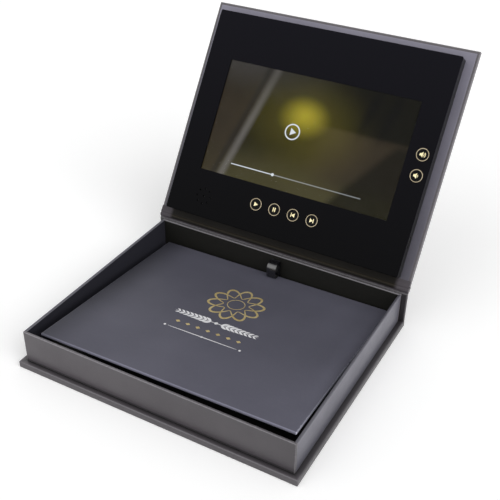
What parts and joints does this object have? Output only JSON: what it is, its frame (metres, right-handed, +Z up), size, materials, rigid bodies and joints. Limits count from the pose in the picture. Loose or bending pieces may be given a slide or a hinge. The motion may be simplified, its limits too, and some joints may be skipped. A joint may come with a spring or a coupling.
{
  "type": "lcd video brochure",
  "caption": "Hinged presentation box with a video screen module in its lid, round push buttons and a tray holding a lift-out folder with a pull ribbon.",
  "frame": {"origin": "centre of the base board's underside", "axes": "+Z up, +X to the right seen from the front, +Y towards the hinge; stored with the lid standing open at 123.3 degrees from closed"},
  "size_m": [0.213, 0.2742, 0.1793],
  "materials": {
    "board_cloth": "matte",
    "pale_paper": "satin",
    "black_paper": "matte",
    "black_card": "matte",
    "black_satin": "satin",
    "black_gloss": "gloss",
    "black_plastic": "matte",
    "clear_lens": "gloss",
    "lcd_glass": "gloss",
    "white_diffuser": "matte",
    "foam": "matte",
    "circuit_green": "satin",
    "chip_black": "matte",
    "battery_foil": "satin",
    "steel": "satin",
    "magnet_plate": "satin",
    "wire_red": "satin",
    "reed_glass": "gloss",
    "gold_foil": "polished",
    "white_print": "satin",
    "amber_film": "satin"
  },
  "bodies": {
    "case": {"base_board": "board_cloth", "spine_board": "board_cloth", "hinge_fold": "board_cloth", "tray_front_wall": "board_cloth", "tray_back_wall": "board_cloth", "tray_left_wall": "board_cloth", "tray_right_wall": "board_cloth", "tray_lining": "black_paper", "tray_floor_lining": "black_paper", "tray_magnets": "magnet_plate", "switch_magnet": "magnet_plate"},
    "lid": {"lid_board": "board_cloth", "lid_liner": "pale_paper", "lid_magnets": "magnet_plate", "module_back_plate": "black_plastic", "module_frame": "black_plastic", "front_panel": "black_gloss", "screen_lens": "clear_lens", "display_panel": "lcd_glass", "display_backlight": "white_diffuser", "display_pads": "foam", "display_cable": "amber_film", "circuit_board": "circuit_green", "volume_board": "circuit_green", "board_posts": "black_plastic", "circuit_chips": "chip_black", "button_switches": "black_plastic", "battery": "battery_foil", "battery_lead": "wire_red", "speaker": "steel", "speaker_lead": "wire_red", "usb_port": "steel", "reed_switch": "reed_glass"},
    "folder": {"folder_base_sheet": "black_card", "folder_back_strip": "black_card", "pull_ribbon": "black_satin"},
    "panel": {"lift_out_panel": "pale_paper"},
    "play_key": {"play_button": "black_gloss"},
    "pause_key": {"pause_button": "black_gloss"},
    "previous_key": {"previous_button": "black_gloss"},
    "next_key": {"next_button": "black_gloss"},
    "volume_down_key": {"volume_down_button": "black_gloss"},
    "volume_up_key": {"volume_up_button": "black_gloss"}
  },
  "joints": [
    {"name": "lid_hinge", "type": "hinge", "parent": "case", "child": "lid", "pos_m": [0, 0.0877, 0.0315], "axis": [-1, 0, 0], "range_deg": [-123.3, 56.7]},
    {"name": "folder_lift", "type": "slide", "parent": "case", "child": "folder", "axis": [0, -0.12, 0.9928], "range_m": [0, 0.06]},
    {"name": "panel_tilt", "type": "hinge", "parent": "folder", "child": "panel", "pos_m": [0.00101, 0.07979, 0.0116], "axis": [-0.9998, -0.0175, 0], "range_deg": [-4.1, 1.9]},
    {"name": "play_press", "type": "slide", "parent": "lid", "child": "play_key", "axis": [0, 0.8358, -0.549], "range_m": [0, 0.0004], "stiffness_N_per_m": 2000},
    {"name": "pause_press", "type": "slide", "parent": "lid", "child": "pause_key", "axis": [0, 0.8358, -0.549], "range_m": [0, 0.0004], "stiffness_N_per_m": 2000},
    {"name": "previous_press", "type": "slide", "parent": "lid", "child": "previous_key", "axis": [0, 0.8358, -0.549], "range_m": [0, 0.0004], "stiffness_N_per_m": 2000},
    {"name": "next_press", "type": "slide", "parent": "lid", "child": "next_key", "axis": [0, 0.8358, -0.549], "range_m": [0, 0.0004], "stiffness_N_per_m": 2000},
    {"name": "volume_down_press", "type": "slide", "parent": "lid", "child": "volume_down_key", "axis": [0, 0.8358, -0.549], "range_m": [0, 0.0004], "stiffness_N_per_m": 2000},
    {"name": "volume_up_press", "type": "slide", "parent": "lid", "child": "volume_up_key", "axis": [0, 0.8358, -0.549], "range_m": [0, 0.0004], "stiffness_N_per_m": 2000}
  ],
  "couplings": [
    {"joint": "panel_tilt", "follows": "lid_hinge", "ratio": 0.0316}
  ]
}
